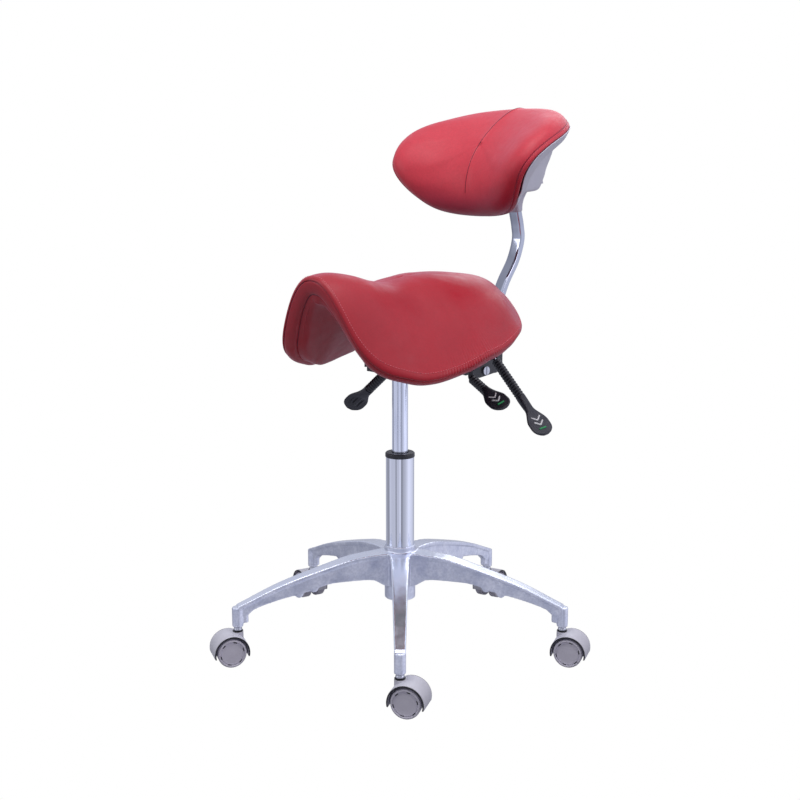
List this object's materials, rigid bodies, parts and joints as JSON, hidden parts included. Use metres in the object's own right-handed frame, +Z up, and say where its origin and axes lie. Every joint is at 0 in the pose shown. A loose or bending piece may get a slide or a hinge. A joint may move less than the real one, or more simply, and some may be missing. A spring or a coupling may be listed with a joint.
{
  "type": "saddle stool",
  "caption": "Height-adjustable saddle stool with a split-thigh saddle seat, wrap-around lumbar backrest on a bent bar, control levers, gas lift column and star base on casters.",
  "frame": {"origin": "on the floor, on the column's axis", "axes": "+Z up along the column; the sitter faces -Y; +X is the sitter's left"},
  "size_m": [0.65, 0.6648, 0.9558],
  "materials": {
    "seat_leather": "soft satin, crimson, fine grain",
    "back_leather": "soft satin, bright red, fine grain",
    "shell_plastic": "fine satin, lavender grey",
    "black_plastic": "satin black",
    "paddle_plastic": "semi-gloss black",
    "sleeve_rubber": "matt black",
    "black_paint": "satin black powder coat",
    "tube_chrome": "polished chrome",
    "bar_chrome": "polished chrome",
    "satin_steel": "drawn, satin",
    "bright_steel": "turned, zinc plated",
    "cast_aluminium": "polished top, as-cast sides",
    "board_wood": "moulded plywood, unfinished",
    "caster_plastic": "fine textured grey",
    "caster_tread": "grey, matt",
    "trim_black": "semi-gloss black"
  },
  "bodies": {
    "base": {"base_casting": "cast_aluminium", "outer_tube": "tube_chrome", "guide_bush": "black_plastic", "thrust_bearing": "bright_steel", "caster_stems": "bright_steel", "stem_collars": "bright_steel"},
    "rod": {"piston_rod": "bright_steel", "piston": "black_plastic"},
    "mechanism": {"pressure_tube": "satin_steel", "rod_seal_plug": "black_plastic", "taper_socket": "black_paint", "mechanism_housing": "black_paint", "rear_bracket": "black_paint", "seat_tilt_pin": "bright_steel", "back_pivot_pin": "bright_steel", "lever_pins": "bright_steel", "bracket_screws": "bright_steel", "back_spring": "bright_steel"},
    "valve": {"valve_pin": "bright_steel"},
    "height_lever": {"height_lever_rod": "bright_steel", "height_lever_sleeve": "sleeve_rubber", "height_lever_paddle": "paddle_plastic"},
    "seat_lever": {"seat_lever_rod": "bright_steel", "seat_lever_sleeve": "sleeve_rubber", "seat_lever_paddle": "paddle_plastic"},
    "back_lever": {"back_lever_rod": "bright_steel", "back_lever_sleeve": "sleeve_rubber", "back_lever_paddle": "paddle_plastic"},
    "seat": {"seat_plate": "black_paint", "seat_bolts": "bright_steel", "seat_board": "board_wood", "seat_undercover": "seat_leather", "seat_cushion": "seat_leather"},
    "bar": {"bar_foot": "black_paint", "back_bar": "bar_chrome"},
    "backrest": {"bar_sleeve": "black_plastic", "back_shell": "shell_plastic", "back_cushion": "back_leather", "shell_screws": "bright_steel"},
    "caster_1": {"caster_1_housing": "caster_plastic", "caster_1_trim": "trim_black"},
    "wheels_1": {"caster_1_axle": "bright_steel", "caster_1_wheels": "caster_tread"},
    "caster_2": {"caster_2_housing": "caster_plastic", "caster_2_trim": "trim_black"},
    "wheels_2": {"caster_2_axle": "bright_steel", "caster_2_wheels": "caster_tread"},
    "caster_3": {"caster_3_housing": "caster_plastic", "caster_3_trim": "trim_black"},
    "wheels_3": {"caster_3_axle": "bright_steel", "caster_3_wheels": "caster_tread"},
    "caster_4": {"caster_4_housing": "caster_plastic", "caster_4_trim": "trim_black"},
    "wheels_4": {"caster_4_axle": "bright_steel", "caster_4_wheels": "caster_tread"},
    "caster_5": {"caster_5_housing": "caster_plastic", "caster_5_trim": "trim_black"},
    "wheels_5": {"caster_5_axle": "bright_steel", "caster_5_wheels": "caster_tread"}
  },
  "joints": [
    {"name": "base_swivel", "type": "hinge", "parent": "base", "child": "rod", "pos_m": [0, 0, 0.1], "axis": [0, 0, 1], "continuous": true},
    {"name": "seat_lift", "type": "slide", "parent": "rod", "child": "mechanism", "axis": [0, 0, 1], "range_m": [-0.12, 0]},
    {"name": "valve_press", "type": "slide", "parent": "mechanism", "child": "valve", "axis": [0, 0, -1], "range_m": [0, 0.0045]},
    {"name": "height_lever_lift", "type": "hinge", "parent": "mechanism", "child": "height_lever", "pos_m": [-0.038, 0.002, 0.507], "axis": [0, 1, 0], "range_deg": [0, 6]},
    {"name": "seat_lever_lift", "type": "hinge", "parent": "mechanism", "child": "seat_lever", "pos_m": [0.04, 0.136, 0.509], "axis": [0, -1, 0], "range_deg": [0, 5]},
    {"name": "back_lever_lift", "type": "hinge", "parent": "mechanism", "child": "back_lever", "pos_m": [0.034, 0.196, 0.5085], "axis": [0, -1, 0], "range_deg": [0, 7]},
    {"name": "seat_tilt", "type": "hinge", "parent": "mechanism", "child": "seat", "pos_m": [0, -0.04, 0.516], "axis": [1, 0, 0], "range_deg": [0, 12]},
    {"name": "back_tilt", "type": "hinge", "parent": "mechanism", "child": "bar", "pos_m": [0, 0.193, 0.48], "axis": [-1, 0, 0], "range_deg": [-2, 14]},
    {"name": "back_height", "type": "slide", "parent": "bar", "child": "backrest", "axis": [0, -0.2382, 0.9712], "range_m": [0, 0.04]},
    {"name": "caster_1_swivel", "type": "hinge", "parent": "base", "child": "caster_1", "pos_m": [0.21923, -0.19739, 0.05], "axis": [0, 0, 1], "continuous": true},
    {"name": "caster_1_roll", "type": "hinge", "parent": "caster_1", "child": "wheels_1", "pos_m": [0.23209, -0.18967, 0.025], "axis": [-0.515, 0.8572, 0], "continuous": true},
    {"name": "caster_2_swivel", "type": "hinge", "parent": "base", "child": "caster_2", "pos_m": [0.25548, 0.1475, 0.05], "axis": [0, 0, 1], "continuous": true},
    {"name": "caster_2_roll", "type": "hinge", "parent": "caster_2", "child": "wheels_2", "pos_m": [0.26872, 0.15454, 0.025], "axis": [-0.4695, 0.8829, 0], "continuous": true},
    {"name": "caster_3_swivel", "type": "hinge", "parent": "base", "child": "caster_3", "pos_m": [-0.06133, 0.28855, 0.05], "axis": [0, 0, 1], "continuous": true},
    {"name": "caster_3_roll", "type": "hinge", "parent": "caster_3", "child": "wheels_3", "pos_m": [-0.06597, 0.30282, 0.025], "axis": [-0.9511, -0.309, 0], "continuous": true},
    {"name": "caster_4_swivel", "type": "hinge", "parent": "base", "child": "caster_4", "pos_m": [-0.29338, 0.03084, 0.05], "axis": [0, 0, 1], "continuous": true},
    {"name": "caster_4_roll", "type": "hinge", "parent": "caster_4", "child": "wheels_4", "pos_m": [-0.30806, 0.03395, 0.025], "axis": [-0.2079, -0.9781, 0], "continuous": true},
    {"name": "caster_5_swivel", "type": "hinge", "parent": "base", "child": "caster_5", "pos_m": [-0.11999, -0.2695, 0.05], "axis": [0, 0, 1], "continuous": true},
    {"name": "caster_5_roll", "type": "hinge", "parent": "caster_5", "child": "wheels_5", "pos_m": [-0.12561, -0.2834, 0.025], "axis": [0.9272, -0.3746, 0], "continuous": true}
  ],
  "couplings": [
    {"joint": "valve_press", "follows": "height_lever_lift", "m_per_rad": 0.038}
  ]
}
